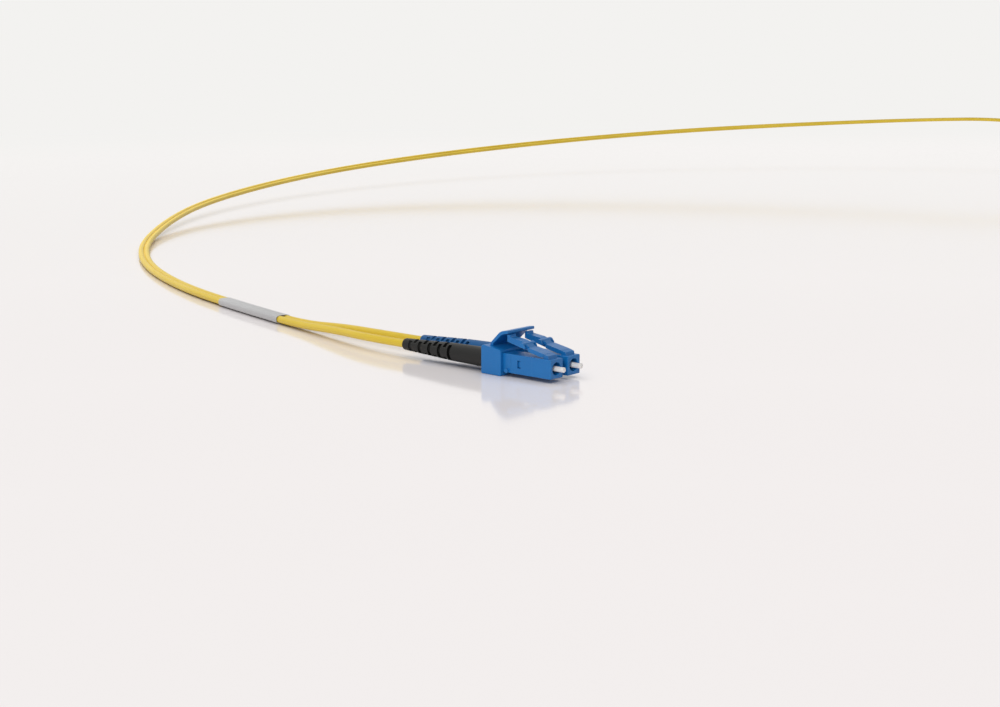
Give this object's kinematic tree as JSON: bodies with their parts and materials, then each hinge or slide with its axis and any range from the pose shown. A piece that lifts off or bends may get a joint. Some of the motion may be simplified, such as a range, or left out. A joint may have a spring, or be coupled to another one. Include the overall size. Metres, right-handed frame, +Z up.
{
  "type": "fiber optic patch cord",
  "caption": "Two-strand optical patch cord with latching small-form connectors, sprung ferrules, press-down release triggers, slotted boots and a yellow zip cable that ends in a tied coil.",
  "frame": {"origin": "centre of the near clip's flat underside, on the surface that the cord lies on", "axes": "+X along the near plugs towards their ferrule tips, +Y from the black boot's plug to the blue boot's plug, +Z up"},
  "size_m": [0.4512, 0.7744, 0.0367],
  "materials": {
    "blue_plastic": "moulded, satin",
    "black_boot": "soft matt",
    "blue_boot": "soft matt",
    "white_ceramic": "ground and polished",
    "nickel_metal": "turned, nickel plated",
    "spring_steel": "drawn wire",
    "crimp_metal": "crimped",
    "fibre_buffer": "extruded",
    "yellow_jacket": "extruded, satin",
    "grey_sleeve": "shrunk tube, matt",
    "black_strap": "woven hook and loop"
  },
  "bodies": {
    "root": {"coil": "yellow_jacket", "coil_tie": "black_strap", "far_boot_a": "black_boot", "far_boot_b": "blue_boot", "far_clip": "blue_plastic", "far_crimp_sleeve_a": "crimp_metal", "far_crimp_sleeve_b": "crimp_metal", "far_housing_a": "blue_plastic", "far_housing_b": "blue_plastic", "far_jacket_end_a": "yellow_jacket", "far_jacket_end_b": "yellow_jacket", "far_leg_a": "yellow_jacket", "far_leg_b": "yellow_jacket", "far_rear_body_a": "blue_plastic", "far_rear_body_b": "blue_plastic", "far_sleeve": "grey_sleeve", "far_spring_a": "spring_steel", "far_spring_b": "spring_steel", "main_cord": "yellow_jacket", "near_boot_a": "black_boot", "near_boot_b": "blue_boot", "near_clip": "blue_plastic", "near_crimp_sleeve_a": "crimp_metal", "near_crimp_sleeve_b": "crimp_metal", "near_housing_a": "blue_plastic", "near_housing_b": "blue_plastic", "near_jacket_end_a": "yellow_jacket", "near_jacket_end_b": "yellow_jacket", "near_leg_a": "yellow_jacket", "near_leg_b": "yellow_jacket", "near_rear_body_a": "blue_plastic", "near_rear_body_b": "blue_plastic", "near_sleeve": "grey_sleeve", "near_spring_a": "spring_steel", "near_spring_b": "spring_steel", "tail_cord": "yellow_jacket"},
    "near_trigger": {"near_trigger": "blue_plastic"},
    "near_latch_a": {"near_latch_a": "blue_plastic"},
    "near_ferrule_a": {"near_ferrule_a": "white_ceramic", "near_ferrule_holder_a": "nickel_metal", "near_buffered_fibre_a": "fibre_buffer"},
    "near_latch_b": {"near_latch_b": "blue_plastic"},
    "near_ferrule_b": {"near_ferrule_b": "white_ceramic", "near_ferrule_holder_b": "nickel_metal", "near_buffered_fibre_b": "fibre_buffer"},
    "far_trigger": {"far_trigger": "blue_plastic"},
    "far_latch_a": {"far_latch_a": "blue_plastic"},
    "far_ferrule_a": {"far_ferrule_a": "white_ceramic", "far_ferrule_holder_a": "nickel_metal", "far_buffered_fibre_a": "fibre_buffer"},
    "far_latch_b": {"far_latch_b": "blue_plastic"},
    "far_ferrule_b": {"far_ferrule_b": "white_ceramic", "far_ferrule_holder_b": "nickel_metal", "far_buffered_fibre_b": "fibre_buffer"}
  },
  "joints": [
    {"name": "near_trigger_press", "type": "hinge", "parent": "root", "child": "near_trigger", "pos_m": [-0.00105, 0, 0.0072], "axis": [0, 1, 0], "range_deg": [0, 20], "stiffness_Nm_per_rad": 0.01},
    {"name": "near_latch_bend_a", "type": "hinge", "parent": "root", "child": "near_latch_a", "pos_m": [0.01395, -0.00313, 0.00615], "axis": [0, 1, 0], "range_deg": [-9, 0], "stiffness_Nm_per_rad": 0.005},
    {"name": "near_ferrule_slide_a", "type": "slide", "parent": "root", "child": "near_ferrule_a", "axis": [1, 0, 0], "range_m": [-0.001, 0], "stiffness_N_per_m": 600, "deforming": ["near_spring_a"]},
    {"name": "near_latch_bend_b", "type": "hinge", "parent": "root", "child": "near_latch_b", "pos_m": [0.01395, 0.00313, 0.00615], "axis": [0, 1, 0], "range_deg": [-9, 0], "stiffness_Nm_per_rad": 0.005},
    {"name": "near_ferrule_slide_b", "type": "slide", "parent": "root", "child": "near_ferrule_b", "axis": [1, 0, 0], "range_m": [-0.001, 0], "stiffness_N_per_m": 600, "deforming": ["near_spring_b"]},
    {"name": "far_trigger_press", "type": "hinge", "parent": "root", "child": "far_trigger", "pos_m": [-0.03122, 0.54103, 0.0072], "axis": [0.9781, 0.2079, 0], "range_deg": [0, 20], "stiffness_Nm_per_rad": 0.01},
    {"name": "far_latch_bend_a", "type": "hinge", "parent": "root", "child": "far_latch_a", "pos_m": [-0.03116, 0.5257, 0.00615], "axis": [0.9781, 0.2079, 0], "range_deg": [-9, 0], "stiffness_Nm_per_rad": 0.005},
    {"name": "far_ferrule_slide_a", "type": "slide", "parent": "root", "child": "far_ferrule_a", "axis": [0.2079, -0.9781, 0], "range_m": [-0.001, 0], "stiffness_N_per_m": 600, "deforming": ["far_spring_a"]},
    {"name": "far_latch_bend_b", "type": "hinge", "parent": "root", "child": "far_latch_b", "pos_m": [-0.02504, 0.527, 0.00615], "axis": [0.9781, 0.2079, 0], "range_deg": [-9, 0], "stiffness_Nm_per_rad": 0.005},
    {"name": "far_ferrule_slide_b", "type": "slide", "parent": "root", "child": "far_ferrule_b", "axis": [0.2079, -0.9781, 0], "range_m": [-0.001, 0], "stiffness_N_per_m": 600, "deforming": ["far_spring_b"]}
  ],
  "couplings": [
    {"joint": "near_latch_bend_a", "follows": "near_trigger_press", "ratio": -0.45},
    {"joint": "near_latch_bend_b", "follows": "near_trigger_press", "ratio": -0.45},
    {"joint": "far_latch_bend_a", "follows": "far_trigger_press", "ratio": -0.45},
    {"joint": "far_latch_bend_b", "follows": "far_trigger_press", "ratio": -0.45}
  ]
}
